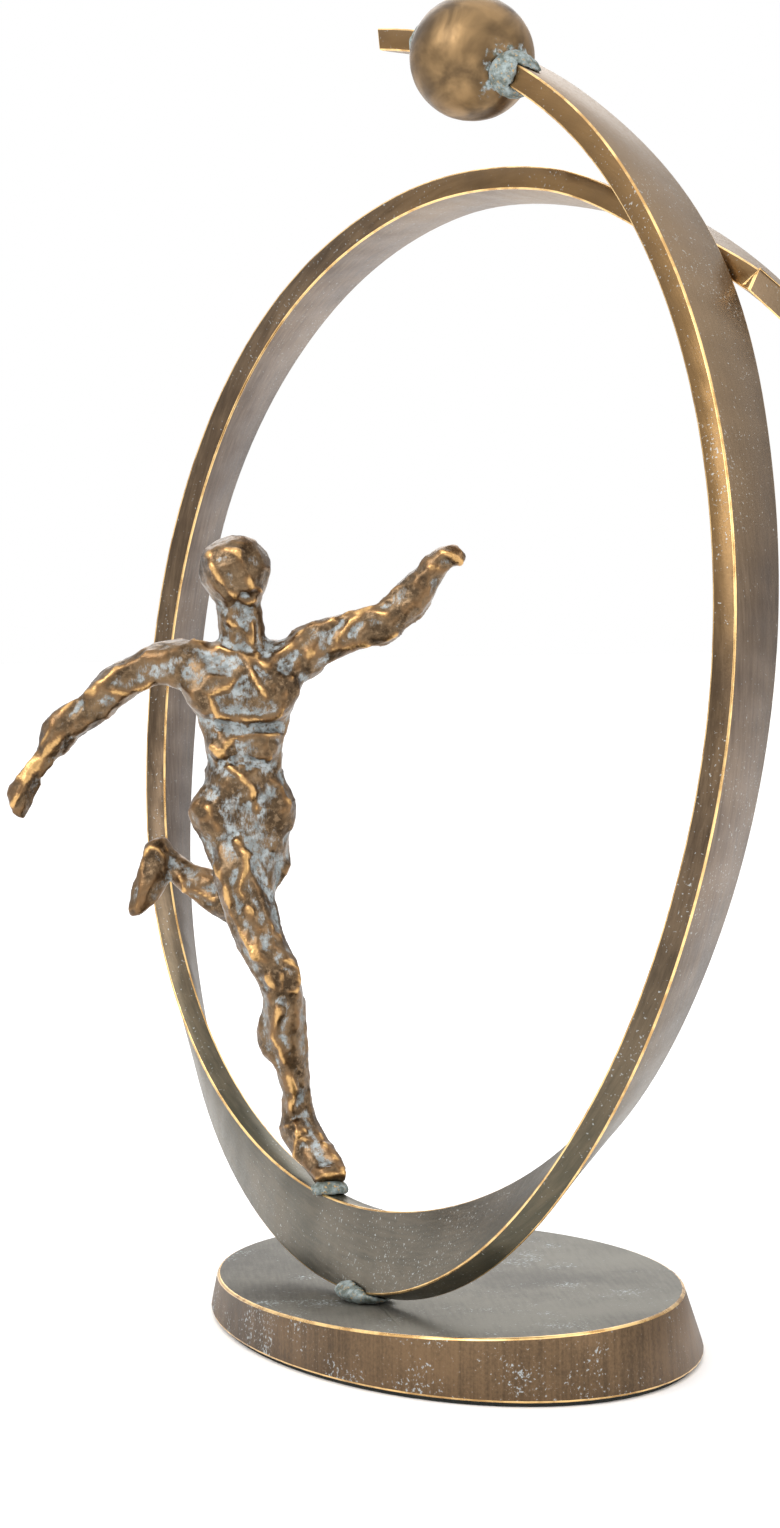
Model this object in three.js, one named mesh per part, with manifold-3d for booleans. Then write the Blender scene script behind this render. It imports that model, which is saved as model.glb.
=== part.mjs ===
// Figure trophy: a cast bronze player kicks off from the inside of an open, twisted hoop.
// The hoop carries a ball near its free end and stands on an oval foot.
// Millimetres, +Z up. The origin is the centre of the felt's underside, and the hoop's
// middle plane runs near X. The hoop starts at the ball, comes down the +X side, passes
// over the foot, climbs the -X side and ends behind its own start.
import * as THREE from 'three';
import { mergeVertices } from 'three/addons/utils/BufferGeometryUtils.js';
import Module from 'manifold-3d';

const wasm = await Module();
wasm.setup();

// ---- Driving dimensions ----

const GAP = 0.3; // clearance between pieces that touch

const FELT_THICK = 1;
const FELT_INSET = 1.5; // from the foot's lower edge

const FOOT_LENGTH = 195; // long axis of the lower outline
const FOOT_WIDTH = 115;
const FOOT_TURN = -21; // degrees from +X to the foot's long axis
const FOOT_BATTER = 3.4; // how far the side leans in, all round
const FOOT_TOP_SHIFT = [1.9, -2.2]; // the top outline's centre, along and across the foot
const FOOT_HEIGHT = 12; // at the origin; the top is a sloping plane
const FOOT_RISE_X = 0.045; // slope of the top along X
const FOOT_RISE_Y = 0.021;
const FOOT_SIDES = 72;

const HOOP_RADIUS = 130; // about its centre, where the bulge below is nothing
const HOOP_AHEAD = [24.5, -7.5]; // its centre, from the foot's
const STAND_GAP = 1.9; // between the bar's lowest edge and the foot, filled with braze
const HOOP_WIDE = 20.4;
const HOOP_THICK = 5.7;
const HOOP_START = 101; // degrees above +X, the free end beside the ball
const HOOP_END = -316; // the other end, which is cut upright
// Even steps of angle, each [bulge of the radius, offset along Y, twist in degrees]. At no
// twist the bar's wide side lies along Y, and it turns nearly half round under the hoop.
const STATION_FIRST = 125;
const STATION_STEP = 25;
const HOOP_STATIONS = [
  [57, -4.5, 17],
  [31, 0, -2],
  [10, -1, -14.5],
  [-2, -7.5, -11],
  [-9, -16, -19],
  [-11, -23.5, -23],
  [-9, -30, -25],
  [-4, -33.5, -31.5],
  [1, -32.5, -55],
  [6, -27.5, -87],
  [9.5, -20, -110.5],
  [11.5, -10, -132.5],
  [11.5, 0, -146.5],
  [10.5, 5.5, -149],
  [5.5, 10, -162.5],
  [-1.5, 14.5, -176],
  [-8.5, 18, -191],
  [-10, 16.5, -192],
  [2.5, 10, -219],
];
const HOOP_STEPS = 210;

const BALL_RADIUS = 15;
const BALL_ANGLE = 88.4; // where it sits on the hoop
const BALL_FORWARD = 8.2; // its centre, in front of the bar's middle
const BALL_LIFT = 0.7; // and above it
const BALL_SIDES = 40;
const BRAZE_PAST_BALL = 1;

const STUD_RADIUS = 1.25; // M2.5
const STUD_IN_HOOP = 7;
const STUD_BELOW_NUT = 0.6;
const NUT_ACROSS = 5;
const NUT_THICK = 2;
const WASHER_RADIUS = 4;
const WASHER_THICK = 0.5;
const RECESS_RADIUS = 7;
const RECESS_DEPTH = 5.5;

const FIGURE_ANGLE = -103; // where the toe stands on the hoop
const FIGURE_TURN = 54; // degrees from +X to the figure's own right-hand side
const TOE_LIFT = 1.5; // from the hoop's inner edge to the toe's tip
const PIN_RADIUS = 1.2;
const PIN_IN_HOOP = 6;
const PIN_IN_TOE = 5;
const PIN_FROM_TOE = 1.5; // along the figure's x, from its origin
const DOWEL_RADIUS = 1.2;
const DOWEL_LENGTH = 9;
const LIMB_SIDES = 10;
const FIGURE_HEIGHT = 160; // from the toe's tip to the crown
const DRAWN_HEIGHT = 167; // the height that the limb stations below are drawn at

// ---- Materials ----

const bronze = (color, roughness) => new THREE.MeshStandardMaterial({ color, roughness, metalness: 1 });
const footBronze = bronze(0x6b5f4b, 0.55);
const hoopBronze = bronze(0x8a6a45, 0.4);
const ballBronze = bronze(0xa9793f, 0.35);
const figureBronze = bronze(0x6e5438, 0.5);
const brazeBronze = bronze(0x8fa3a0, 0.8);
const steel = new THREE.MeshStandardMaterial({ color: 0x9a9ca0, roughness: 0.4, metalness: 1 });
const felt = new THREE.MeshStandardMaterial({ color: 0x1d1f1e, roughness: 1, metalness: 0 });

// ---- Joining and cutting ----

function toSolid(geometry) {
  const bare = geometry.clone();
  bare.deleteAttribute('normal');
  bare.deleteAttribute('uv');
  const welded = mergeVertices(bare, 1e-5);
  return new wasm.Manifold(new wasm.Mesh({
    numProp: 3,
    vertProperties: new Float32Array(welded.attributes.position.array),
    triVerts: new Uint32Array(welded.index.array),
  }));
}

function toGeometry(solid) {
  const shape = solid.getMesh();
  const geometry = new THREE.BufferGeometry();
  geometry.setAttribute('position', new THREE.BufferAttribute(new Float32Array(shape.vertProperties), 3));
  geometry.setIndex(new THREE.BufferAttribute(new Uint32Array(shape.triVerts), 1));
  return geometry;
}

function toMesh(name, solid, material) {
  const geometry = toGeometry(solid);
  geometry.computeVertexNormals();
  const mesh = new THREE.Mesh(geometry, material);
  mesh.name = name;
  return mesh;
}

const vector = (x, y, z) => new THREE.Vector3(x, y, z);

// A round bar from one point to another.
function rodGeometry(from, to, radius, sides = 20) {
  const run = to.clone().sub(from);
  const rod = new THREE.CylinderGeometry(radius, radius, run.length(), sides);
  const turn = new THREE.Quaternion().setFromUnitVectors(vector(0, 1, 0), run.clone().normalize());
  rod.applyQuaternion(turn);
  const middle = from.clone().add(to).multiplyScalar(0.5);
  return rod.translate(middle.x, middle.y, middle.z);
}

const rod = (from, to, radius, sides) => toSolid(rodGeometry(from, to, radius, sides));

// A squashed ball, for a bead of braze.
function bead(centre, sizes) {
  const ball = new THREE.SphereGeometry(1, 24, 16);
  ball.scale(sizes.x, sizes.y, sizes.z);
  return toSolid(ball.translate(centre.x, centre.y, centre.z));
}

// ---- Foot ----

// The height of the foot's top above its underside.
const footTop = (x, y) => FOOT_HEIGHT + FOOT_RISE_X * x + FOOT_RISE_Y * y;

// A block between two ovals. The upper one lies on the sloping top, the lower one is flat.
function ovalBlock(lower, upper, shift, topAt) {
  const block = new THREE.CylinderGeometry(1, 1, 1, FOOT_SIDES);
  block.rotateX(Math.PI / 2);
  const turn = THREE.MathUtils.degToRad(FOOT_TURN);
  const at = block.attributes.position;
  for (let i = 0; i < at.count; i++) {
    const high = at.getZ(i) > 0;
    const [long, short] = high ? upper : lower;
    const along = at.getX(i) * long + (high ? shift[0] : 0);
    const across = at.getY(i) * short + (high ? shift[1] : 0);
    const x = along * Math.cos(turn) - across * Math.sin(turn);
    const y = along * Math.sin(turn) + across * Math.cos(turn);
    at.setXYZ(i, x, y, high ? topAt(x, y) : 0);
  }
  return block;
}

const footHalf = [FOOT_LENGTH / 2, FOOT_WIDTH / 2];
const footBlock = ovalBlock(footHalf, footHalf.map((half) => half - FOOT_BATTER), FOOT_TOP_SHIFT, footTop);
footBlock.translate(0, 0, FELT_THICK);

const feltHalf = footHalf.map((half) => half - FELT_INSET);
const feltSolid = toSolid(ovalBlock(feltHalf, feltHalf, [0, 0], () => FELT_THICK));

// ---- Hoop ----

const hoopLaw = new THREE.CatmullRomCurve3(
  HOOP_STATIONS.map(([bulge, offset, twist]) => vector(HOOP_RADIUS + bulge, offset, twist)),
  false,
  'catmullrom',
);
const hoopCentre = vector(...HOOP_AHEAD, 0);

// The bar's middle and its two section directions at an angle.
function hoopFrame(degrees) {
  const step = (STATION_FIRST - degrees) / STATION_STEP;
  const { x: radius, y: offset, z: twistDegrees } = hoopLaw.getPoint(step / (HOOP_STATIONS.length - 1));
  const angle = THREE.MathUtils.degToRad(degrees);
  const twist = THREE.MathUtils.degToRad(twistDegrees);
  const out = vector(Math.cos(angle), 0, Math.sin(angle));
  const axis = vector(0, 1, 0);
  const wide = axis.clone().multiplyScalar(Math.cos(twist)).addScaledVector(out, Math.sin(twist));
  const thick = out.clone().multiplyScalar(Math.cos(twist)).addScaledVector(axis, -Math.sin(twist));
  const middle = hoopCentre.clone().addScaledVector(out, radius).addScaledVector(axis, offset);
  return { middle, wide, thick };
}

// A point in the bar, that far in from its lower edge.
function inHoop(degrees, depth) {
  const { middle, wide } = hoopFrame(degrees);
  return middle.addScaledVector(wide, depth - HOOP_WIDE / 2);
}

// The angle at which the bar's lower edge comes nearest to the foot.
function lowestAngle() {
  const angles = Array.from({ length: 51 }, (_, i) => -80 - i / 2);
  const above = ({ x, y, z }) => z - footTop(x, y);
  return angles.reduce((best, angle) => (above(inHoop(angle, 0)) < above(inHoop(best, 0)) ? angle : best));
}

const standAngle = lowestAngle();
const lowest = inHoop(standAngle, 0);
hoopCentre.z = FELT_THICK + footTop(lowest.x, lowest.y) + STAND_GAP - lowest.z;
const stand = inHoop(standAngle, 0);

// Runs a point at the hoop's end on along the bar, to the upright plane of the cut.
function cutUpright(point) {
  const { middle } = hoopFrame(HOOP_END);
  const run = hoopFrame(HOOP_END - 1).middle.sub(middle).normalize();
  point.addScaledVector(run, (middle.x - point.x) / run.x);
}

// A straight bar bent onto the hoop's line; grown adds to every side of its section.
function hoopGeometry(grown = 0) {
  const bar = new THREE.BoxGeometry(1, HOOP_WIDE + 2 * grown, HOOP_THICK + 2 * grown, HOOP_STEPS, 1, 1);
  const at = bar.attributes.position;
  for (let i = 0; i < at.count; i++) {
    const degrees = THREE.MathUtils.lerp(HOOP_START, HOOP_END, at.getX(i) + 0.5);
    const { middle, wide, thick } = hoopFrame(degrees);
    middle.addScaledVector(wide, at.getY(i)).addScaledVector(thick, at.getZ(i));
    if (degrees === HOOP_END) cutUpright(middle);
    at.setXYZ(i, middle.x, middle.y, middle.z);
  }
  return bar;
}

const hoopFull = toSolid(hoopGeometry());
const hoopGrown = toSolid(hoopGeometry(GAP));

// ---- Ball, slotted over the bar's front edge ----

const ballSeat = hoopFrame(BALL_ANGLE);
const ballCentre = ballSeat.middle.clone().add(vector(0, -BALL_FORWARD, BALL_LIFT));
const sphere = (radius) => toSolid(
  new THREE.SphereGeometry(radius, BALL_SIDES, BALL_SIDES / 2).translate(ballCentre.x, ballCentre.y, ballCentre.z),
);
const ballSolid = sphere(BALL_RADIUS).subtract(hoopGrown);

// A bead of braze where the bar's front edge leaves the ball, on one side of it.
function ballBraze(side) {
  const reach = (BALL_RADIUS + BRAZE_PAST_BALL) / ballSeat.middle.distanceTo(hoopCentre);
  const { middle, wide } = hoopFrame(BALL_ANGLE + side * THREE.MathUtils.radToDeg(reach));
  const place = middle.clone().addScaledVector(wide, -HOOP_WIDE / 2 + 3);
  return bead(place, vector(5, 6.5, 5.5)).subtract(sphere(BALL_RADIUS + GAP)).subtract(hoopGrown);
}

// ---- Fixings under the foot ----

const footUnderside = FELT_THICK;
const recessTop = footUnderside + RECESS_DEPTH;
const studAxis = inHoop(standAngle, STUD_IN_HOOP / 2); // the stud is upright and the bar leans
const under = (z) => vector(studAxis.x, studAxis.y, z);
const studTop = stand.z + STUD_IN_HOOP;
const washerBottom = recessTop - GAP - WASHER_THICK;
const nutTop = washerBottom - GAP;
const studBottom = nutTop - NUT_THICK - STUD_BELOW_NUT;

const footSolid = toSolid(footBlock)
  .subtract(rod(under(-1), under(recessTop), RECESS_RADIUS, 32))
  .subtract(rod(under(0), under(footUnderside + 3 * FOOT_HEIGHT), STUD_RADIUS + GAP));
const studSolid = rod(under(studBottom), under(studTop), STUD_RADIUS);
const studHole = rod(under(stand.z - 5), under(studTop + GAP), STUD_RADIUS + GAP);
const washerSolid = rod(under(washerBottom), under(washerBottom + WASHER_THICK), WASHER_RADIUS)
  .subtract(rod(under(0), under(recessTop + 1), STUD_RADIUS + GAP));
const nutSolid = rod(under(nutTop - NUT_THICK), under(nutTop), NUT_ACROSS / Math.sqrt(3), 6)
  .subtract(rod(under(0), under(recessTop + 1), STUD_RADIUS + GAP));

// A braze bead round the bar's lower edge, on the foot's top.
const standBraze = bead(vector(stand.x, stand.y, stand.z + 0.5), vector(9, 6, 2.6))
  .subtract(hoopGrown)
  .subtract(toSolid(footBlock.clone().translate(0, 0, GAP)))
  .subtract(studHole);

// ---- Figure, in its own frame: x to its left hand, y behind it, z up from the toe's tip ----

const FIGURE_SCALE = FIGURE_HEIGHT / DRAWN_HEIGHT;

// A limb is a round bar laid onto its stations. Each station is [x, y, z, across, deep],
// the last two being half its width seen from the front and half its depth.
function limbGeometry(stations, grown = 0) {
  const rings = 2 * (stations.length - 1);
  const bar = new THREE.CylinderGeometry(1, 1, 1, LIMB_SIDES, rings);
  const places = stations.map(([x, y, z]) => vector(x, y, z).multiplyScalar(FIGURE_SCALE));
  const sizes = stations.map(([, , , across, deep]) => vector(across, deep, 0).multiplyScalar(FIGURE_SCALE));
  const line = new THREE.CatmullRomCurve3(places, false, 'catmullrom');
  const girth = new THREE.CatmullRomCurve3(sizes, false, 'catmullrom');
  const at = bar.attributes.position;
  for (let i = 0; i < at.count; i++) {
    const t = Math.min(1, Math.max(0, 0.5 - at.getY(i)));
    const along = line.getTangent(t);
    const sideways = vector(0, 1, 0).cross(along).normalize();
    const forward = along.clone().cross(sideways);
    const { x: across, y: deep } = girth.getPoint(t).add(vector(grown, grown, 0));
    const point = line.getPoint(t);
    point.addScaledVector(sideways, at.getX(i) * across).addScaledVector(forward, at.getZ(i) * deep);
    at.setXYZ(i, point.x, point.y, point.z);
  }
  return bar;
}

const limb = (stations, grown) => toSolid(limbGeometry(stations, grown));

// A block that fills everything near the figure beyond a point in a direction.
function beyond(point, direction) {
  const side = FIGURE_HEIGHT;
  const block = new THREE.BoxGeometry(side, side, side).translate(side / 2, 0, 0);
  block.applyQuaternion(new THREE.Quaternion().setFromUnitVectors(vector(1, 0, 0), direction));
  return toSolid(block.translate(point.x, point.y, point.z));
}

const TORSO = [
  [-20.5, 11, 137, 12, 5.5],
  [-20.5, 11, 134, 18, 7.5],
  [-20.5, 11, 128, 16, 8.5],
  [-20.5, 11, 121, 12.5, 8.5],
  [-20.5, 12, 110.5, 10.2, 7],
  [-20.5, 12.5, 103, 11.2, 7.2],
  [-20.5, 13, 97, 12.8, 8.5],
  [-20.5, 13, 90, 12.2, 8.5],
  [-19.5, 13, 84, 10.5, 7.5],
];
const NECK = [
  [-20.5, 11, 134, 9, 6],
  [-20.8, 10.5, 140, 6.6, 5.6],
  [-21.4, 9.5, 145, 5.8, 5.4],
  [-22, 8.5, 152, 6.2, 6],
];
const HEAD = [
  [-22.2, 7.5, 148.3, 2.5, 3],
  [-22.2, 7.5, 150, 6, 6.5],
  [-22.4, 7.5, 154, 8.6, 9],
  [-22.7, 7.5, 158, 9.6, 10],
  [-23, 7.5, 162, 8.6, 9],
  [-23.3, 7.5, 165, 5.4, 6],
  [-23.4, 7.5, 166.2, 2, 2.5],
];
const STANDING_LEG = [
  [-22, 13, 92, 8, 8],
  [-20.8, 12, 83, 8, 8.2],
  [-19.5, 10, 73.5, 7.3, 7.6],
  [-16.7, 7, 63, 6.4, 6.8],
  [-11.6, 4, 54, 5.6, 6],
  [-10, 5, 46, 5.6, 5.8],
  [-9.8, 7.5, 37.5, 5.7, 6],
  [-8.4, 9.5, 29, 4.5, 5],
  [-7, 11.5, 20, 4, 4.4],
  [-6.8, 13, 14, 4.8, 5.5],
];
const STANDING_FOOT = [
  [-7.4, 15, 15.5, 3.2, 3],
  [-6.9, 13, 13, 5.2, 4.6],
  [-4, 9, 9.5, 5.2, 4],
  [-0.5, 4, 5, 5.3, 3.2],
  [2.2, 0.5, 1.9, 4.8, 2.2],
  [3.2, -0.5, 0.9, 3, 1.2],
];
const RIGHT_ARM = [
  [-27, 11, 131.5, 5.5, 6],
  [-34, 11, 133.8, 6.4, 6.4],
  [-41.5, 11, 133.8, 5.9, 6],
  [-47, 11.5, 131.5, 5.2, 5.4],
  [-55, 12, 126.7, 5.3, 5.3],
  [-60.6, 12.5, 121, 4.8, 4.9],
  [-65.7, 12.5, 117.3, 4.2, 4.6],
  [-70.8, 12, 110.6, 3.3, 3.8],
  [-74.7, 11.5, 105.8, 3.3, 3.4],
  [-78, 11, 100.6, 3.7, 3.6],
  [-78.2, 10.5, 96, 3, 3],
  [-77.8, 10, 93.6, 1.4, 1.8],
];
const LEFT_ARM = [
  [-16, 11, 131, 5.5, 6],
  [-8, 11, 134.5, 6.6, 6.6],
  [-1, 11, 139, 6, 6.2],
  [5.6, 10.5, 141, 5.4, 5.6],
  [10.5, 10, 143, 5.4, 5.4],
  [15.4, 9, 144.6, 4.7, 4.9],
  [21, 8, 148.6, 5.2, 5],
  [24.4, 7, 152.8, 5.2, 4.6],
  [27.4, 6, 157, 3.8, 3.6],
  [30.5, 5.5, 160.5, 3.8, 3],
  [34, 5, 161.2, 3.2, 2.6],
  [37, 5, 160.6, 1.4, 1.4],
];
const RAISED_LEG = [
  [-24, 13, 90, 7, 7],
  [-22.5, 18, 80, 6.8, 7.2],
  [-20, 24, 71.5, 6, 6.4],
  [-21, 29, 68.6, 5.6, 6],
  [-27, 32, 71.5, 5.8, 5.8],
  [-32.5, 34, 74.5, 5, 5],
  [-36.4, 35, 76.6, 4, 4.2],
  [-40.5, 36, 79.6, 3.6, 3.8],
  [-43.5, 36, 82.6, 3.2, 3.4],
];
const RAISED_FOOT = [
  [-44, 36, 87.6, 1.6, 2],
  [-44.2, 36, 85.6, 3.2, 3.6],
  [-45, 35, 80.5, 4, 4.4],
  [-46.2, 34, 75, 4.2, 4.2],
  [-49, 33, 70, 3.5, 3.2],
  [-51, 32, 66.4, 2.2, 2],
];

// Each limb that was cast on its own, with the middle of the joint where it was brazed on
// and the direction in which it leaves the body.
const CAST_ON = {
  right_arm: { forms: [RIGHT_ARM], at: [-42.5, 11, 133.6], runs: [-0.92, 0, -0.38] },
  left_arm: { forms: [LEFT_ARM], at: [1, 11, 139.6], runs: [0.92, 0, 0.38] },
  raised_leg: { forms: [RAISED_LEG, RAISED_FOOT], at: [-22.6, 17.5, 81], runs: [0.1, 0.5, -0.86] },
};

const join = (solids) => solids.reduce((whole, solid) => whole.add(solid));
const subtractAll = (solid, cutters) => cutters.reduce((rest, cutter) => rest.subtract(cutter), solid);

// The limb beyond its joint, the stub that the body keeps, and the dowel between them.
function castOn({ forms, at, runs }) {
  const direction = vector(...runs).normalize();
  const middle = vector(...at).multiplyScalar(FIGURE_SCALE);
  const whole = (grown) => join(forms.map((stations) => limb(stations, grown)));
  const outer = (gap) => beyond(middle.clone().addScaledVector(direction, -gap), direction);
  const dowel = (grown) => rod(
    middle.clone().addScaledVector(direction, -DOWEL_LENGTH / 2 - grown),
    middle.clone().addScaledVector(direction, DOWEL_LENGTH / 2 + grown),
    DOWEL_RADIUS + grown,
  );
  return {
    piece: whole(0).intersect(outer(0)).subtract(dowel(GAP)),
    stub: whole(0).subtract(outer(0)),
    room: whole(GAP).intersect(outer(GAP)),
    hole: dowel(GAP),
    dowel: dowel(0),
  };
}

const limbs = Object.fromEntries(Object.entries(CAST_ON).map(([name, limbOf]) => [name, castOn(limbOf)]));

const perch = hoopFrame(FIGURE_ANGLE);
const perchPoint = perch.middle.clone().addScaledVector(perch.wide, HOOP_WIDE / 2);
const figure = new THREE.Group();
figure.rotation.z = THREE.MathUtils.degToRad(FIGURE_TURN);
figure.position.copy(perchPoint);
figure.position.add(vector(-PIN_FROM_TOE, 0, TOE_LIFT).applyEuler(figure.rotation));
figure.updateMatrixWorld();

const hoopFromFigure = toSolid(hoopGeometry(GAP).applyMatrix4(figure.matrixWorld.clone().invert()));

const toePin = (grown) => rod(
  vector(PIN_FROM_TOE, 0, -TOE_LIFT - PIN_IN_HOOP - grown),
  vector(PIN_FROM_TOE, 0, PIN_IN_TOE + grown),
  PIN_RADIUS + grown,
);

const trunkForms = [TORSO, NECK, HEAD, STANDING_LEG, STANDING_FOOT].map((stations) => limb(stations));
const trunk = join([...trunkForms, ...Object.values(limbs).map(({ stub }) => stub)]);
const bodyCutters = Object.values(limbs).flatMap(({ room, hole }) => [room, hole]);
const body = subtractAll(trunk, [...bodyCutters, toePin(GAP), hoopFromFigure]);

const toeBraze = bead(vector(PIN_FROM_TOE, 0, -TOE_LIFT / 2), vector(4.6, 3.4, 2.4))
  .subtract(hoopFromFigure)
  .subtract(limb(STANDING_FOOT, GAP))
  .subtract(toePin(GAP));

const pinHole = toSolid(toGeometry(toePin(GAP)).applyMatrix4(figure.matrixWorld));
const hoopSolid = subtractAll(hoopFull, [studHole, pinHole]);

figure.add(
  toMesh('figure_body', body, figureBronze),
  toMesh('toe_pin', toePin(0), steel),
  toMesh('toe_braze', toeBraze, brazeBronze),
);
for (const [name, { piece, dowel }] of Object.entries(limbs)) {
  figure.add(toMesh(`figure_${name}`, piece, figureBronze), toMesh(`${name}_dowel`, dowel, steel));
}

const trophy = new THREE.Group();
trophy.add(
  toMesh('foot_casting', footSolid, footBronze),
  toMesh('foot_felt', feltSolid, felt),
  toMesh('hoop', hoopSolid, hoopBronze),
  toMesh('hoop_stud', studSolid, steel),
  toMesh('hoop_nut', nutSolid, steel),
  toMesh('hoop_washer', washerSolid, steel),
  toMesh('hoop_braze', standBraze, brazeBronze),
  toMesh('ball', ballSolid, ballBronze),
  toMesh('ball_braze_right', ballBraze(-1), brazeBronze),
  toMesh('ball_braze_left', ballBraze(1), brazeBronze),
  figure,
);

export default trophy;
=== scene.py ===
# Figure trophy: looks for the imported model. Metres, +Z up, the same frame as the model.
import math

import bmesh
import bpy
import numpy as np
from mathutils import Matrix, Vector, kdtree, noise


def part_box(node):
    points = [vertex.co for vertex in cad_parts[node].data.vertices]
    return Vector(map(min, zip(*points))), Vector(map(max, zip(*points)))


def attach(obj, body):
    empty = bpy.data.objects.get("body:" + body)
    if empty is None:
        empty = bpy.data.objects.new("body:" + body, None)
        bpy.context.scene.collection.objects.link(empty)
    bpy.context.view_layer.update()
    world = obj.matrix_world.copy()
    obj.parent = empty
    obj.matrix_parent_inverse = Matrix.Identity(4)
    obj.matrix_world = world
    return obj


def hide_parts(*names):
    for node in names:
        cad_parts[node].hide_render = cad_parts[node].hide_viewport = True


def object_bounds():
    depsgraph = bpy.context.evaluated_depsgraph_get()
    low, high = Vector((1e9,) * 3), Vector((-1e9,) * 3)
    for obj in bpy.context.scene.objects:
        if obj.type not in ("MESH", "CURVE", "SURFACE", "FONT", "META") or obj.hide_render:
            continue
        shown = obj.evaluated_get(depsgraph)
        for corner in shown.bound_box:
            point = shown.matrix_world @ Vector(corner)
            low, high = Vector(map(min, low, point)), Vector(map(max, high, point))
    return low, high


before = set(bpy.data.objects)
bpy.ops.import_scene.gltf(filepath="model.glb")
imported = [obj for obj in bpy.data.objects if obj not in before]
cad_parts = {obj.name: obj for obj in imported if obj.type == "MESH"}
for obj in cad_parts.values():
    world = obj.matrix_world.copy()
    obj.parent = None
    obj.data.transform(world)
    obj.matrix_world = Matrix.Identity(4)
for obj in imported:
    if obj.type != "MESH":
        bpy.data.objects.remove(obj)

cad_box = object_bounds()
scene = bpy.context.scene
scene.view_settings.view_transform = "Standard"
MM = 0.001


# ---- Camera, floor and light ----

def look(name, place, turns, lens):
    data = bpy.data.cameras.new(name)
    data.lens = lens
    data.sensor_width = 36
    data.clip_start = 0.01
    camera = bpy.data.objects.new(name, data)
    camera.location = place
    camera.rotation_euler = [math.radians(turn) for turn in turns]
    scene.collection.objects.link(camera)
    return camera


scene.camera = look("camera", (0.7503, -0.5649, 0.18795), (87.113, 0, 53.95), 89.1)


def softbox(name, place, target, size, power, tint=(1, 1, 1)):
    data = bpy.data.lights.new(name, "AREA")
    data.shape = "RECTANGLE"
    data.size, data.size_y = size
    data.energy = power
    data.color = tint
    lamp = bpy.data.objects.new(name, data)
    lamp.location = place
    lamp.rotation_euler = (Vector(target) - Vector(place)).to_track_quat("-Z", "Y").to_euler()
    scene.collection.objects.link(lamp)


softbox("key", (0.1, -1.15, 1.0), (0, 0, 0.18), (0.9, 0.7), 7)
softbox("side", (1.25, 0.35, 0.55), (0, 0, 0.16), (0.6, 0.9), 3.5)
softbox("back", (-0.9, 0.6, 0.8), (0, 0, 0.15), (0.8, 0.8), 3.5)

def studio_world():
    """White behind the object, and a room that is brighter above and darker low down for its light."""
    world = bpy.data.worlds.new("studio")
    world.use_nodes = True
    nodes, links = world.node_tree.nodes, world.node_tree.links
    seen = nodes.new("ShaderNodeLightPath").outputs["Is Camera Ray"]
    split = nodes.new("ShaderNodeSeparateXYZ")
    links.new(nodes.new("ShaderNodeTexCoord").outputs["Generated"], split.inputs[0])
    ramp = nodes.new("ShaderNodeValToRGB")
    ramp.color_ramp.elements[0].position, ramp.color_ramp.elements[1].position = 0.38, 0.95
    ramp.color_ramp.elements[0].color = (0.26, 0.25, 0.25, 1)
    ramp.color_ramp.elements[1].color = (1.0, 1.0, 1.0, 1)
    lean = nodes.new("ShaderNodeMath")
    lean.operation = "MULTIPLY_ADD"
    links.new(split.outputs["Z"], lean.inputs[0])
    lean.inputs[1].default_value = 0.5
    lean.inputs[2].default_value = 0.5
    side = nodes.new("ShaderNodeMath")
    side.operation = "MULTIPLY_ADD"
    links.new(split.outputs["Y"], side.inputs[0])
    side.inputs[1].default_value = -0.14
    links.new(lean.outputs[0], side.inputs[2])
    links.new(side.outputs[0], ramp.inputs[0])
    room = nodes["Background"]
    room.inputs["Strength"].default_value = 1.55
    links.new(ramp.outputs[0], room.inputs["Color"])
    white = nodes.new("ShaderNodeBackground")
    white.inputs["Color"].default_value = (1, 1, 1, 1)
    pick = nodes.new("ShaderNodeMixShader")
    links.new(seen, pick.inputs[0])
    links.new(room.outputs[0], pick.inputs[1])
    links.new(white.outputs[0], pick.inputs[2])
    links.new(pick.outputs[0], nodes["World Output"].inputs["Surface"])
    return world


scene.world = studio_world()


# ---- Materials ----

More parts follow.
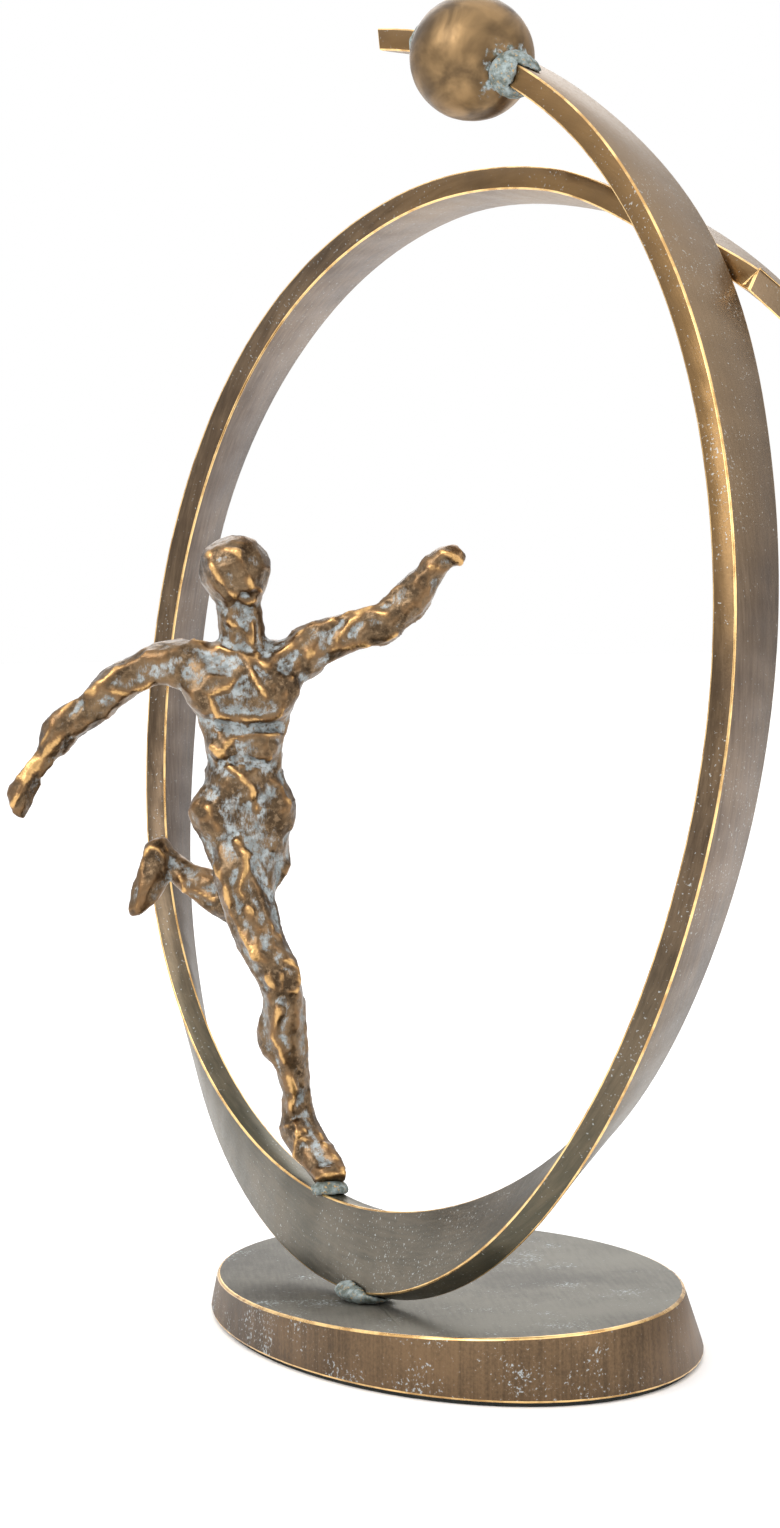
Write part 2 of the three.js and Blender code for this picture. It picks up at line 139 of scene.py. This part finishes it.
class Shader:
    """A material's node tree, with short calls for the nodes it needs."""

    def __init__(self, name):
        self.material = bpy.data.materials.new(name)
        self.material.use_nodes = True
        self.nodes = self.material.node_tree.nodes
        self.links = self.material.node_tree.links
        self.surface = self.nodes["Principled BSDF"]
        self.place = self.nodes.new("ShaderNodeTexCoord").outputs["Object"]

    def put(self, value, socket):
        if isinstance(value, bpy.types.NodeSocket):
            self.links.new(value, socket)
        elif isinstance(value, tuple) and len(value) == 3 and socket.type == "RGBA":
            socket.default_value = (*value, 1)
        else:
            socket.default_value = value

    def math(self, kind, *values, clamp=False):
        node = self.nodes.new("ShaderNodeMath")
        node.operation = kind
        node.use_clamp = clamp
        for value, socket in zip(values, node.inputs):
            self.put(value, socket)
        return node.outputs[0]

    def noise(self, scale, detail=3, rough=0.6, at=None, twist=0):
        node = self.nodes.new("ShaderNodeTexNoise")
        self.put(at or self.place, node.inputs["Vector"])
        for name, value in (("Scale", scale), ("Detail", detail), ("Roughness", rough), ("Distortion", twist)):
            node.inputs[name].default_value = value
        return node.outputs["Fac"]

    def ramp(self, value, low, high):
        node = self.nodes.new("ShaderNodeMapRange")
        node.interpolation_type = "SMOOTHSTEP"
        self.put(value, node.inputs["Value"])
        node.inputs["From Min"].default_value = low
        node.inputs["From Max"].default_value = high
        return node.outputs["Result"]

    def mix(self, factor, first, second):
        node = self.nodes.new("ShaderNodeMix")
        node.data_type = "RGBA"
        self.put(factor, node.inputs[0])
        self.put(first, node.inputs[6])
        self.put(second, node.inputs[7])
        return node.outputs[2]

    def attribute(self, name):
        node = self.nodes.new("ShaderNodeAttribute")
        node.attribute_name = name
        return node.outputs["Fac"]

    def split(self, at=None):
        node = self.nodes.new("ShaderNodeSeparateXYZ")
        self.put(at or self.place, node.inputs[0])
        return node.outputs

    def merge(self, x, y, z):
        node = self.nodes.new("ShaderNodeCombineXYZ")
        for value, socket in zip((x, y, z), node.inputs):
            self.put(value, socket)
        return node.outputs[0]

    def bump(self, height, strength, distance):
        node = self.nodes.new("ShaderNodeBump")
        self.put(height, node.inputs["Height"])
        node.inputs["Strength"].default_value = strength
        node.inputs["Distance"].default_value = distance
        self.put(node.outputs[0], self.surface.inputs["Normal"])

    def finish(self, color, metallic, roughness):
        self.put(color, self.surface.inputs["Base Color"])
        self.put(metallic, self.surface.inputs["Metallic"])
        self.put(roughness, self.surface.inputs["Roughness"])
        return self.material


GOLD = (0.66, 0.40, 0.16)
BROWN = (0.18, 0.12, 0.068)
DARK = (0.07, 0.046, 0.027)
VERDIGRIS = (0.45, 0.51, 0.53)
MOSS = (0.10, 0.13, 0.10)


def figure_bronze():
    s = Shader("figure_bronze")
    worn, hollow = s.attribute("worn"), s.attribute("hollow")
    broad = s.noise(85, 5, 0.62)
    middling = s.noise(260, 4, 0.65)
    fine = s.noise(850, 4, 0.65)
    stretched = s.merge(*[s.math("MULTIPLY", part, k) for part, k in zip(s.split(), (1000, 1000, 330))])
    streaks = s.noise(1, 4, 0.7, at=stretched, twist=2)
    color = s.mix(s.ramp(s.math("ADD", broad, s.math("MULTIPLY", middling, 0.6)), 0.62, 0.96), DARK, BROWN)
    color = s.mix(s.ramp(fine, 0.48, 0.68), color, (0.23, 0.155, 0.09))
    warm = s.math("ADD", worn, s.math("MULTIPLY", s.math("SUBTRACT", s.math("ADD", middling, broad), 1.05), 0.6))
    color = s.mix(s.ramp(warm, 0.06, 0.62), color, (0.20, 0.115, 0.055))
    crest = s.math("ADD", worn, s.math("MULTIPLY", s.math("SUBTRACT", s.math("ADD", middling, fine), 1.0), 0.45))
    gold = s.ramp(crest, 0.52, 1.1)
    color = s.mix(gold, color, GOLD)
    pale = s.math("ADD", hollow, s.math("MULTIPLY", s.math("SUBTRACT", s.math("ADD", streaks, broad), 1.0), 0.95))
    pale = s.ramp(s.math("SUBTRACT", pale, s.math("MULTIPLY", gold, 0.6)), 0.22, 0.62)
    pale = s.math("MULTIPLY", pale, s.ramp(fine, 0.30, 0.56))
    color = s.mix(s.math("MULTIPLY", pale, 0.85), color, s.mix(s.ramp(middling, 0.4, 0.6), (0.25, 0.29, 0.30), VERDIGRIS))
    metallic = s.math("SUBTRACT", 1, s.math("MULTIPLY", pale, 0.6))
    roughness = s.math("ADD", s.math("ADD", 0.23, s.math("MULTIPLY", fine, 0.16)), s.math("MULTIPLY", pale, 0.3))
    s.bump(s.math("ADD", s.math("MULTIPLY", middling, 0.75), s.math("MULTIPLY", fine, 0.35)), 0.4, 0.0007)
    return s.finish(color, metallic, roughness)


def bar_bronze(name, dark, light, highlight_gold, centre, roughness, speckle):
    s = Shader(name)
    x, y, z = s.split()
    across = s.math("SUBTRACT", x, centre.x)
    above = s.math("SUBTRACT", z, centre.z)
    angle = s.math("ARCTAN2", above, across)
    radius = s.math("SQRT", s.math("ADD", s.math("MULTIPLY", across, across), s.math("MULTIPLY", above, above)))
    along = s.merge(s.math("MULTIPLY", angle, 9), s.math("MULTIPLY", radius, 900), s.math("MULTIPLY", y, 900))
    brushed = s.noise(1, 4, 0.65, at=along)
    broad = s.noise(26, 4, 0.6)
    fine = s.noise(1500, 2, 0.5)
    tone = s.math("ADD", s.math("MULTIPLY", broad, 0.6), s.math("MULTIPLY", brushed, 0.4))
    color = s.mix(s.ramp(tone, 0.36, 0.64), dark, light)
    # Painted highlight: towards the top of the hoop and its +x side the colour is mixed into a lighter gold, where
    # the light falls on it.
    painted_highlight = s.math("ADD", s.ramp(s.math("ADD", above, s.math("MULTIPLY", across, 0.7)), 0.03, 0.17), broad)
    color = s.mix(s.math("MULTIPLY", s.ramp(painted_highlight, 0.6, 1.4), 0.75), color, highlight_gold)
    color = s.mix(s.math("MULTIPLY", s.ramp(z, 0.13, 0.03), 0.35), color, MOSS)
    dots = s.ramp(s.math("ADD", fine, s.math("MULTIPLY", broad, 0.35)), 0.84 - speckle, 0.9 - speckle)
    color = s.mix(s.math("MULTIPLY", dots, 0.55), color, (0.50, 0.53, 0.52))
    metallic = s.math("SUBTRACT", 0.95, s.math("MULTIPLY", dots, 0.5))
    rough = s.math("ADD", roughness, s.math("MULTIPLY", s.math("SUBTRACT", s.math("ADD", brushed, fine), 1), 0.22))
    s.bump(s.math("ADD", brushed, s.math("MULTIPLY", fine, 0.5)), 0.25, 0.0002)
    return s.finish(color, metallic, rough)


def worn_edge():
    s = Shader("worn_edge")
    patches = s.noise(130, 4, 0.6)
    color = s.mix(s.ramp(patches, 0.36, 0.6), (0.55, 0.33, 0.13), (1.0, 0.68, 0.30))
    return s.finish(color, 1.0, s.math("ADD", 0.22, s.math("MULTIPLY", patches, 0.12)))


def foot_bronze(name, dark, light, speckle, rough):
    s = Shader(name)
    turn = math.radians(-32)
    x, y, z = s.split()
    along = s.math("ADD", s.math("MULTIPLY", x, math.cos(turn)), s.math("MULTIPLY", y, math.sin(turn)))
    aside = s.math("SUBTRACT", s.math("MULTIPLY", y, math.cos(turn)), s.math("MULTIPLY", x, math.sin(turn)))
    streak = s.noise(1, 4, 0.6, at=s.merge(s.math("MULTIPLY", along, 70), s.math("MULTIPLY", aside, 900), z))
    broad = s.noise(22, 5, 0.6)
    fine = s.noise(1300, 3, 0.6)
    tone = s.math("ADD", s.math("MULTIPLY", broad, 0.55), s.math("MULTIPLY", s.math("ADD", streak, fine), 0.23))
    color = s.mix(s.ramp(tone, 0.38, 0.62), dark, light)
    patches = s.noise(60, 4, 0.65)
    dots = s.ramp(s.math("ADD", s.math("MULTIPLY", fine, 0.75), s.math("MULTIPLY", patches, 0.6)), 0.80 - speckle, 0.88 - speckle)
    color = s.mix(s.math("MULTIPLY", dots, 0.7), color, (0.47, 0.53, 0.55))
    metallic = s.math("SUBTRACT", 0.85, s.math("MULTIPLY", dots, 0.5))
    s.bump(s.math("ADD", streak, fine), 0.3, 0.0002)
    return s.finish(color, metallic, s.math("ADD", rough, s.math("MULTIPLY", fine, 0.15)))


def ball_bronze():
    s = Shader("ball_bronze")
    broad = s.noise(70, 4, 0.55, twist=0.6)
    fine = s.noise(900, 3, 0.6)
    hollow = s.attribute("hollow")
    color = s.mix(s.ramp(broad, 0.35, 0.66), (0.095, 0.062, 0.034), (0.33, 0.21, 0.10))
    pale = s.ramp(s.math("ADD", hollow, s.math("MULTIPLY", s.math("SUBTRACT", s.noise(330, 4, 0.65), 0.5), 1.3)), 0.4, 0.62)
    color = s.mix(pale, color, s.mix(s.ramp(fine, 0.42, 0.6), (0.40, 0.47, 0.49), (0.12, 0.15, 0.13)))
    metallic = s.math("SUBTRACT", 1, s.math("MULTIPLY", pale, 0.7))
    s.bump(s.math("ADD", s.noise(240, 3, 0.5), s.math("MULTIPLY", fine, 0.3)), 0.18, 0.0005)
    return s.finish(color, metallic, s.math("ADD", 0.27, s.math("MULTIPLY", s.math("ADD", pale, fine), 0.2)))


def braze_bronze():
    s = Shader("verdigris_braze")
    broad = s.noise(300, 4, 0.65)
    fine = s.noise(1100, 3, 0.6)
    color = s.mix(s.ramp(broad, 0.38, 0.62), (0.11, 0.13, 0.11), (0.34, 0.40, 0.40))
    color = s.mix(s.ramp(fine, 0.55, 0.72), color, (0.5, 0.33, 0.15))
    s.bump(s.math("ADD", broad, fine), 0.6, 0.0006)
    return s.finish(color, 0.4, 0.62)


def fixing_steel():
    s = Shader("fixing_steel")
    grain = s.noise(700, 3, 0.6)
    return s.finish(s.mix(grain, (0.42, 0.43, 0.45), (0.62, 0.63, 0.65)), 1.0, s.math("ADD", 0.25, s.math("MULTIPLY", grain, 0.2)))


def felt_cloth():
    s = Shader("felt")
    fibres = s.noise(1800, 4, 0.7, twist=2)
    s.bump(fibres, 0.8, 0.0004)
    return s.finish(s.mix(fibres, (0.012, 0.014, 0.013), (0.05, 0.055, 0.05)), 0.0, 0.95)


# ---- Mesh helpers ----

def add_piece(name, mesh, slot, *nodes):
    piece = bpy.data.objects.new(name, mesh)
    scene.collection.objects.link(piece)
    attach(piece, "root")
    if nodes:
        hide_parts(*nodes)
    return piece


def cad_copy(*nodes):
    """One welded bmesh with the CAD solids of these nodes."""
    made = bmesh.new()
    for node in nodes:
        made.from_mesh(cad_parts[node].data)
    bmesh.ops.remove_doubles(made, verts=made.verts, dist=1e-6)
    return made


def to_mesh(name, made, smooth=True):
    mesh = bpy.data.meshes.new(name)
    made.to_mesh(mesh)
    made.free()
    mesh.polygons.foreach_set("use_smooth", [smooth] * len(mesh.polygons))
    return mesh


def applied(piece):
    """The piece's mesh with its modifiers applied."""
    mesh = bpy.data.meshes.new_from_object(piece.evaluated_get(bpy.context.evaluated_depsgraph_get()))
    piece.modifiers.clear()
    piece.data = mesh
    return mesh


def bevelled(piece, width, angle, material):
    bevel = piece.modifiers.new("bevel", "BEVEL")
    bevel.width = width
    bevel.segments = 2
    bevel.limit_method = "ANGLE"
    bevel.angle_limit = math.radians(angle)
    bevel.material = material
    bevel.use_clamp_overlap = False
    bevel.harden_normals = True


# ---- Foot ----

def make_foot():
    made = cad_copy("foot_casting")
    bmesh.ops.dissolve_limit(made, angle_limit=math.radians(0.4), verts=made.verts, edges=made.edges)
    for face in made.faces:
        face.material_index = 0 if face.normal.z > 0.7 else 1
    foot = add_piece("foot", to_mesh("foot", made), "foot_bronze", "foot_casting")
    foot.data.materials.append(foot_bronze("foot_top", (0.105, 0.098, 0.085), (0.20, 0.19, 0.16), 0.0, 0.5))
    foot.data.materials.append(foot_bronze("foot_rim", (0.075, 0.05, 0.03), (0.19, 0.12, 0.065), 0.03, 0.42))
    foot.data.materials.append(worn_edge())
    bevelled(foot, 0.0006, 40, 2)


# ---- Hoop ----

def make_hoop():
    made = cad_copy("hoop")
    bmesh.ops.join_triangles(made, faces=made.faces, angle_face_threshold=math.radians(12),
                             angle_shape_threshold=math.radians(180))
    for face in made.faces:
        lengths = sorted(edge.calc_length() for edge in face.edges)
        face.material_index = 0 if lengths[-1] > 0.0165 else 1
    hoop = add_piece("hoop_bar", to_mesh("hoop_bar", made), "hoop_bronze", "hoop")
    low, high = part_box("hoop")
    centre = Vector(((low.x + high.x) / 2 + 0.012, 0, (low.z + high.z) / 2 - 0.009))
    # The third colour given to each bar material is the gold of its painted highlight on the top and +x side of
    # the hoop.
    hoop.data.materials.append(bar_bronze("bar_wide", (0.115, 0.088, 0.072), (0.245, 0.19, 0.148), (0.27, 0.185, 0.105), centre, 0.42, 0.0))
    hoop.data.materials.append(bar_bronze("bar_narrow", (0.07, 0.048, 0.031), (0.155, 0.108, 0.068), (0.235, 0.135, 0.05), centre, 0.36, 0.0))
    hoop.data.materials.append(worn_edge())
    bevelled(hoop, 0.00045, 35, 2)


# ---- Ball ----

def make_ball():
    low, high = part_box("ball")
    centre = (low + high) / 2
    radius = (high.x - low.x) / 2
    made = bmesh.new()
    bmesh.ops.create_uvsphere(made, u_segments=128, v_segments=64, radius=1)
    leaves = [(sum(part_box(side), Vector()) / 2 - centre).normalized() for side in ("ball_braze_right", "ball_braze_left")]
    spread = made.verts.layers.float.new("hollow")
    for vert in made.verts:
        out = vert.co.normalized()
        near = [1 - (out - leave).length / reach for leave, reach in zip(leaves, (0.78, 0.7))]
        vert[spread] = max(0, *near)
        dent = 0.006 * (noise.noise(out * 2.6) + 0.4 * noise.noise(out * 7)) - 0.006
        vert.co = centre + out * radius * (1 + dent)
    ball = add_piece("ball_cast", to_mesh("ball_cast", made), "ball_bronze", "ball")
    ball.data.materials.append(ball_bronze())


# ---- Braze beads ----

def make_braze(name, node, rough, filled=None):
    made = cad_copy(node)
    if filled:
        add_muscle(made, *filled)
    piece = add_piece(name, to_mesh(name, made), "verdigris_braze", node)
    remesh = piece.modifiers.new("remesh", "REMESH")
    remesh.mode = "VOXEL"
    remesh.voxel_size = 0.00045
    mesh = applied(piece)
    for vert in mesh.vertices:
        shift = noise.noise(vert.co * 260) + 0.6 * noise.noise(vert.co * 700)
        vert.co = vert.co + vert.normal * (shift + 0.5) * rough
    mesh.polygons.foreach_set("use_smooth", [True] * len(mesh.polygons))
    mesh.materials.clear()
    mesh.materials.append(braze)


# ---- Figure ----

TURN = math.radians(54)
SIDE = Vector((math.cos(TURN), math.sin(TURN), 0))
BACK = Vector((-math.sin(TURN), math.cos(TURN), 0))
pin_low, pin_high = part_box("toe_pin")
TOE = Vector(((pin_low.x + pin_high.x) / 2, (pin_low.y + pin_high.y) / 2, pin_high.z - 5 * MM)) - SIDE * 1.5 * MM
FIGURE = Matrix((
    (SIDE.x * MM, BACK.x * MM, 0, TOE.x),
    (SIDE.y * MM, BACK.y * MM, 0, TOE.y),
    (0, 0, MM, TOE.z),
    (0, 0, 0, 1),
))

# Muscles and bones that stand out of the plain limbs: centre and half sizes, in the
# figure's own millimetres (x to its left hand, y behind it, z up from the toe), and a
# tilt in degrees about y.
MUSCLES = [
    ((-27, 5, 121), (8, 4.5, 7), 12),  # chest
    ((-13.5, 5, 121), (8, 4.5, 7), -12),
    ((-36, 10, 127.5), (7, 6, 6), 20),  # shoulders
    ((-5, 10, 130), (7, 6, 6), -30),
    ((-24.5, 6, 107.5), (4.5, 3.5, 4), 0),  # abdomen
    ((-15, 6, 107.5), (4.5, 3.5, 4), 0),
    ((-20, 6, 99), (6, 3.5, 5), 0),
    ((-28, 11, 91), (5.5, 6, 6), 15),  # hips
    ((-12, 11, 92), (5.5, 6, 7), -10),
    ((-13.5, 15, 81), (5, 5, 9), -12),
    ((-20.5, 7, 74), (6.5, 5.5, 12), -12),  # thigh
    ((-9.5, 2.5, 52), (4.5, 4, 4.5), 0),  # knee
    ((-12.5, 8.5, 38), (4, 4.5, 8), 8),  # calf
    ((-6.5, 9, 13), (4, 5, 3), 0),  # ankle
    ((1.5, 1, 2.8), (5, 4.2, 2.6), 10),  # toe
    ((-52, 10.5, 122), (5.2, 4.6, 7), 40),
    ((-65, 11, 112), (4.6, 4, 7), 35),
    ((14, 9, 137), (7, 4.6, 4.6), -20),
    ((22, 6.5, 143.5), (6, 4, 4.2), -45),
]

# Worn ridges and grooves drawn on the front of the figure: height (a groove is below 0),
# half width, and the points in x and z.
STROKES = [
    (0.9, 1.7, [(-27.5, 152.0), (-24.5, 148.0), (-21.0, 144.0), (-18.0, 143.0), (-15.5, 145.0)]),
    (0.9, 1.7, [(-21.0, 155.0), (-19.0, 151.0), (-17.0, 147.0), (-14.5, 145.0)]),
    (0.6, 1.8, [(-28.0, 154.5), (-24.0, 156.0), (-20.5, 155.5)]),
    (0.7, 1.4, [(-23.0, 138.5), (-19.0, 135.0), (-16.0, 130.0)]),
    (0.6, 1.2, [(-17.5, 138.0), (-17.5, 133.5)]),
    (1.2, 2.0, [(-31.5, 134.0), (-27.5, 132.0), (-22.0, 131.0), (-19.0, 130.0), (-15.0, 128.0)]),
    (1.2, 2.0, [(-13.5, 127.5), (-8.5, 132.0), (-4.0, 136.5), (2.5, 138.5)]),
    (0.8, 1.6, [(-19.0, 129.5), (-17.0, 124.5), (-14.0, 120.0)]),
    (0.9, 1.6, [(-20.0, 126.0), (-23.5, 122.5), (-28.0, 120.5), (-26.0, 115.5)]),
    (-1.8, 1.6, [(-26.0, 112.8), (-18.5, 111.8), (-10.5, 112.3)]),
    (0.9, 1.4, [(-26.0, 115.2), (-18.5, 114.4), (-10.5, 114.9)]),
    (0.9, 1.5, [(-10.0, 115.5), (-8.5, 123.0), (-5.0, 129.5), (-3.0, 131.0)]),
    (0.7, 1.3, [(-25.0, 106.5), (-22.0, 110.0), (-17.0, 110.6), (-11.5, 110.6)]),
    (-1.2, 1.4, [(-25.0, 104.0), (-19.0, 104.5), (-15.0, 103.5)]),
    (0.9, 1.6, [(-27.0, 107.5), (-22.0, 102.0), (-17.5, 97.5), (-16.5, 92.5)]),
    (0.9, 1.8, [(-13.5, 99.5), (-8.5, 96.5), (-8.5, 94.0)]),
    (1.2, 2.4, [(-31.5, 93.5), (-28.5, 92.0), (-25.5, 87.5)]),
    (1.4, 2.0, [(-21.0, 84.5), (-19.0, 81.0), (-19.5, 75.0), (-20.5, 72.5), (-17.5, 67.0), (-15.5, 62.5),
                (-16.5, 58.0), (-13.5, 52.0), (-11.5, 48.0)]),
    (1.1, 1.6, [(-27.0, 79.0), (-24.0, 73.5), (-22.5, 67.0), (-18.5, 60.0), (-16.0, 56.0)]),
    (-1.2, 1.5, [(-17.5, 80.0), (-13.5, 72.0), (-11.0, 63.0)]),
    (1.0, 1.5, [(-12.0, 64.0), (-10.0, 59.0), (-8.0, 55.5)]),
    (0.9, 1.4, [(-9.5, 55.0), (-6.0, 53.5), (-6.5, 48.0), (-10.0, 48.0), (-10.0, 52.0)]),
    (1.2, 1.7, [(-11.0, 43.5), (-12.0, 36.5), (-9.5, 30.5), (-7.5, 22.0), (-8.0, 18.0)]),
    (0.8, 1.0, [(-10.5, 13.0), (-6.5, 15.0), (-4.5, 13.0)]),
    (0.8, 1.0, [(-8.5, 13.5), (-4.5, 10.5)]),
    (0.8, 1.5, [(-3.0, 0.5), (0.0, 3.0), (6.0, 3.5)]),
    (0.7, 1.4, [(-6.5, 13.0), (-7.5, 6.0), (-3.5, 0.5)]),
    (0.7, 1.4, [(-3.0, 14.5), (1.5, 8.0), (5.5, 4.0)]),
    (0.8, 1.3, [(-46.5, 75.5), (-47.0, 79.0), (-44.5, 81.0), (-42.0, 80.5), (-40.5, 78.5), (-40.0, 76.0)]),
    (0.7, 1.3, [(-48.0, 76.5), (-49.5, 70.0), (-53.0, 63.0)]),
    (0.7, 1.4, [(-53.0, 62.0), (-51.5, 60.5), (-49.5, 60.0)]),
    (0.7, 1.2, [(-37.0, 74.0), (-35.5, 70.5), (-36.5, 67.0)]),
    (0.8, 1.3, [(-35.0, 71.0), (-30.0, 69.0), (-28.0, 68.5)]),
    (0.8, 1.8, [(-44.0, 131.5), (-51.0, 127.0), (-57.0, 121.0), (-61.5, 119.5), (-66.0, 113.5), (-71.5, 104.5),
                (-75.0, 100.0)]),
    (0.8, 1.6, [(-53.0, 121.5), (-47.0, 120.5), (-42.0, 123.5)]),
    (0.7, 1.5, [(-64.5, 110.5), (-69.5, 104.5), (-73.5, 98.5), (-76.5, 93.5)]),
    (0.9, 1.8, [(3.5, 133.5), (7.0, 138.5), (10.5, 140.5), (15.5, 140.0)]),
    (0.8, 1.6, [(2.5, 131.5), (14.5, 133.5), (23.5, 138.5), (29.0, 144.5)]),
    (0.8, 1.6, [(5.0, 140.5), (14.0, 143.0), (19.0, 149.0), (24.0, 152.5)]),
    (0.8, 1.5, [(26.5, 156.0), (31.5, 154.5), (35.0, 152.0)]),
    (0.6, 1.3, [(26.0, 151.5), (30.0, 151.0), (34.0, 151.5)]),
]


def add_muscle(made, centre, sizes, tilt):
    ball = bmesh.ops.create_icosphere(made, subdivisions=3, radius=1)["verts"]
    shape = Matrix.Translation(centre) @ Matrix.Rotation(math.radians(tilt), 4, "Y") @ Matrix.Diagonal((*sizes, 1))
    bmesh.ops.transform(made, matrix=FIGURE @ shape, verts=ball)


def smoothed(values, edges, counts, times):
    """Each vertex's value averaged with its neighbours', times over."""
    for _ in range(times):
        total = values.copy()
        for a, b in ((0, 1), (1, 0)):
            for axis in range(values.shape[1]):
                total[:, axis] += np.bincount(edges[:, a], values[edges[:, b], axis], len(values))
        values = total / (counts[:, None] + 1)
    return values


def normals_of(mesh):
    out = np.empty(len(mesh.vertices) * 3, np.float32)
    mesh.vertices.foreach_get("normal", out)
    return out.reshape(-1, 3).astype(float)


def facets(points, normals, spacing, keep, seed):
    """Flattens the surface into small hammered planes about that far apart."""
    order = np.random.default_rng(seed).permutation(len(points))
    free = np.ones(len(points), bool)
    seeds = []
    for index in order:
        if free[index]:
            seeds.append(index)
            free &= ((points - points[index]) ** 2).sum(1) > spacing ** 2
    tree = kdtree.KDTree(len(seeds))
    for number, index in enumerate(seeds):
        tree.insert(points[index], number)
    tree.balance()
    owner = np.array([tree.find(point)[1] for point in points])
    counts = np.bincount(owner, minlength=len(seeds))[:, None]
    middle = np.stack([np.bincount(owner, points[:, axis], len(seeds)) for axis in range(3)], 1) / counts
    facing = np.stack([np.bincount(owner, normals[:, axis], len(seeds)) for axis in range(3)], 1)
    facing /= np.maximum(np.linalg.norm(facing, axis=1, keepdims=True), 1e-9)
    height = ((points - middle[owner]) * facing[owner]).sum(1)
    height = np.clip(height, -0.9, 0.9)
    return points - facing[owner] * (height * keep)[:, None]


def stroke_profile(flat, line, width):
    """1 on a drawn line and 0 from its half width outwards."""
    best = np.full(len(flat), 9e9)
    for start, end in zip(line, line[1:]):
        start, run = np.array(start), np.array(end) - np.array(start)
        share = np.clip(((flat - start) @ run) / (run @ run), 0, 1)
        best = np.minimum(best, np.linalg.norm(flat - start - share[:, None] * run, axis=1))
    return np.clip(1 - best / width, 0, 1)


def make_figure():
    nodes = ("figure_body", "figure_right_arm", "figure_left_arm", "figure_raised_leg")
    made = cad_copy(*nodes)
    for muscle in MUSCLES:
        add_muscle(made, *muscle)
    figure = add_piece("player", to_mesh("player", made), "figure_bronze", *nodes)
    remesh = figure.modifiers.new("remesh", "REMESH")
    remesh.mode = "VOXEL"
    remesh.voxel_size = 0.00062
    mesh = applied(figure)
    into, to_world = np.array(FIGURE.inverted()), np.array(FIGURE)
    edges = np.empty(len(mesh.edges) * 2, np.int32)
    mesh.edges.foreach_get("vertices", edges)
    edges = edges.reshape(-1, 2)
    counts = np.bincount(edges.ravel(), minlength=len(mesh.vertices)).astype(float)
    points = np.empty(len(mesh.vertices) * 3, np.float32)
    mesh.vertices.foreach_get("co", points)
    points = points.reshape(-1, 3).astype(float) @ into[:3, :3].T + into[:3, 3]
    turned = FIGURE.to_3x3().normalized()

    def store():
        world = points @ to_world[:3, :3].T + to_world[:3, 3]
        mesh.vertices.foreach_set("co", world.astype(np.float32).ravel())
        mesh.update()
        return normals_of(mesh) @ np.array(turned)

    points = smoothed(points, edges, counts, 5)
    normals = store()
    points = facets(points, normals, 6.2, 0.85, 4)
    points = facets(points, normals, 2.8, 0.55, 9)
    points = smoothed(points, edges, counts, 1)
    normals = store()
    drawn = np.zeros(len(points))
    front = np.clip(-normals[:, 1] * 1.6, 0, 1)
    drift = np.array([noise.noise_vector(Vector(p) * 0.28) for p in points])
    flat = points[:, [0, 2]] + 0.45 * drift[:, [0, 2]]
    strength = np.clip(0.9 + 0.9 * drift[:, 1], 0.4, 1.2)
    for height, width, line in STROKES:
        wave = stroke_profile(flat, line, width) * front * strength
        points = points + normals * (0.8 * height * wave ** 1.2)[:, None]
        drawn += wave * (1 if height > 0 else -1)
    rough = np.array([noise.noise(Vector(p) * 0.55) + 0.5 * noise.noise(Vector(p) * 1.3) for p in points])
    points = points + normals * (0.13 * rough)[:, None]
    inside = [np.array(corner) for corner in cad_box]
    world = np.clip(points @ to_world[:3, :3].T + to_world[:3, 3], *inside)
    points = world @ into[:3, :3].T + into[:3, 3]
    normals = store()
    raised = ((points - smoothed(points, edges, counts, 14)) * normals).sum(1)
    wide = ((points - smoothed(points, edges, counts, 90)) * normals).sum(1)
    crest = np.clip(drawn, 0, 1) ** 2.6
    worn = np.clip(raised * 1.35 + 0.5 * crest - 0.05, 0, 1)
    hollow = np.clip(0.42 - raised * 1.3 - wide * 0.2 - 0.4 * np.clip(drawn, -1, 1), 0, 1)
    for name, values in (("worn", worn), ("hollow", hollow)):
        layer = mesh.attributes.new(name, "FLOAT", "POINT")
        layer.data.foreach_set("value", values.astype(np.float32))
    mesh.polygons.foreach_set("use_smooth", [True] * len(mesh.polygons))
    mesh.materials.clear()
    mesh.materials.append(figure_bronze())


# ---- Everything ----

braze = braze_bronze()
steel = fixing_steel()
make_foot()
make_hoop()
make_ball()
make_figure()
make_braze("foot_bead", "hoop_braze", 0.0003)
make_braze("toe_bead", "toe_braze", 0.0003, ((2, 0.6, -0.5), (3.4, 2.8, 1.9), 0))
make_braze("ball_bead_right", "ball_braze_right", 0.0004)
make_braze("ball_bead_left", "ball_braze_left", 0.0004)

for node in ("hoop_stud", "hoop_nut", "hoop_washer", "right_arm_dowel", "left_arm_dowel", "raised_leg_dowel", "toe_pin"):
    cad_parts[node].data.materials.clear()
    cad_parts[node].data.materials.append(steel)
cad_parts["foot_felt"].data.materials.clear()
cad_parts["foot_felt"].data.materials.append(felt_cloth())

floor_mesh = bpy.data.meshes.new("floor")
floor_mesh.from_pydata([(-6, -6, 0), (6, -6, 0), (6, 6, 0), (-6, 6, 0)], [], [(0, 1, 2, 3)])
floor = bpy.data.objects.new("floor", floor_mesh)
scene.collection.objects.link(floor)
pale = Shader("floor")
floor_mesh.materials.append(pale.finish((0.96, 0.96, 0.96), 0.0, 0.9))
